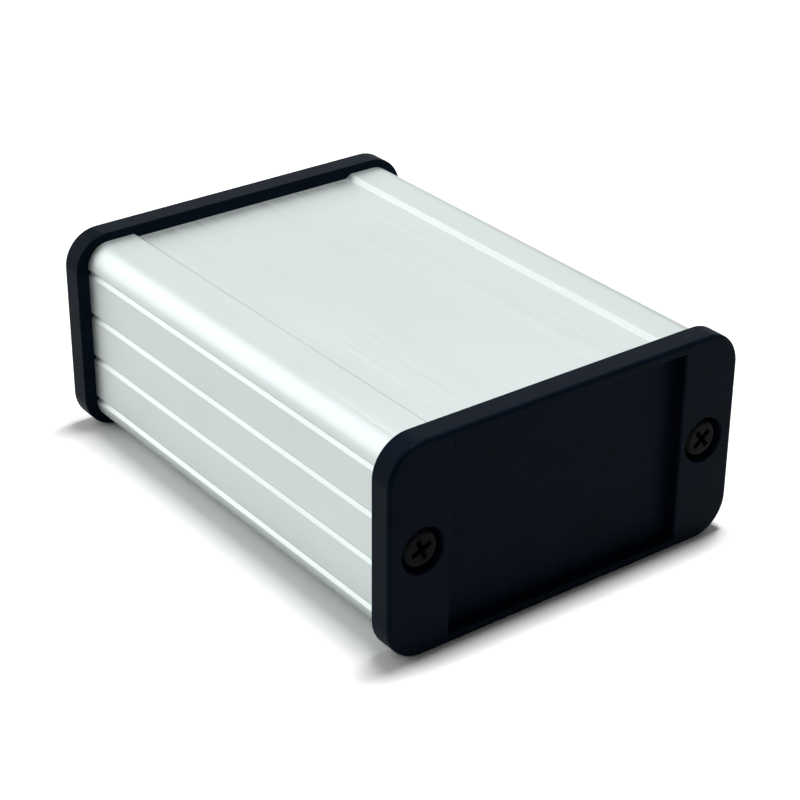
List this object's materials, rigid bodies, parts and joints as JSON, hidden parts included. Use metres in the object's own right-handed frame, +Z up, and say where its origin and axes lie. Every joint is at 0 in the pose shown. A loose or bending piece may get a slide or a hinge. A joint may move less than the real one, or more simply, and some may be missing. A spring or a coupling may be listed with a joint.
{
  "type": "extruded aluminium enclosure",
  "caption": "Small instrument enclosure: a grooved aluminium extrusion with a recessed roof, closed by moulded end panels held by pan-head screws sunk in counterbores.",
  "frame": {"origin": "on the ground under the middle of the box; the end panels stand on z = 0", "axes": "+X across the end panels, to the right as seen from the front; +Y along the extrusion, from the front panel to the rear panel; +Z up"},
  "size_m": [0.0484, 0.0662, 0.026],
  "materials": {
    "anodised_aluminium": "satin, clear anodised",
    "moulded_plastic": "fine moulded texture",
    "blackened_steel": "black, slightly glossy"
  },
  "bodies": {
    "root": {"extruded_body": "anodised_aluminium", "front_panel": "moulded_plastic", "rear_panel": "moulded_plastic", "front_screw_left": "blackened_steel", "front_screw_right": "blackened_steel", "rear_screw_left": "blackened_steel", "rear_screw_right": "blackened_steel"}
  },
  "joints": []
}
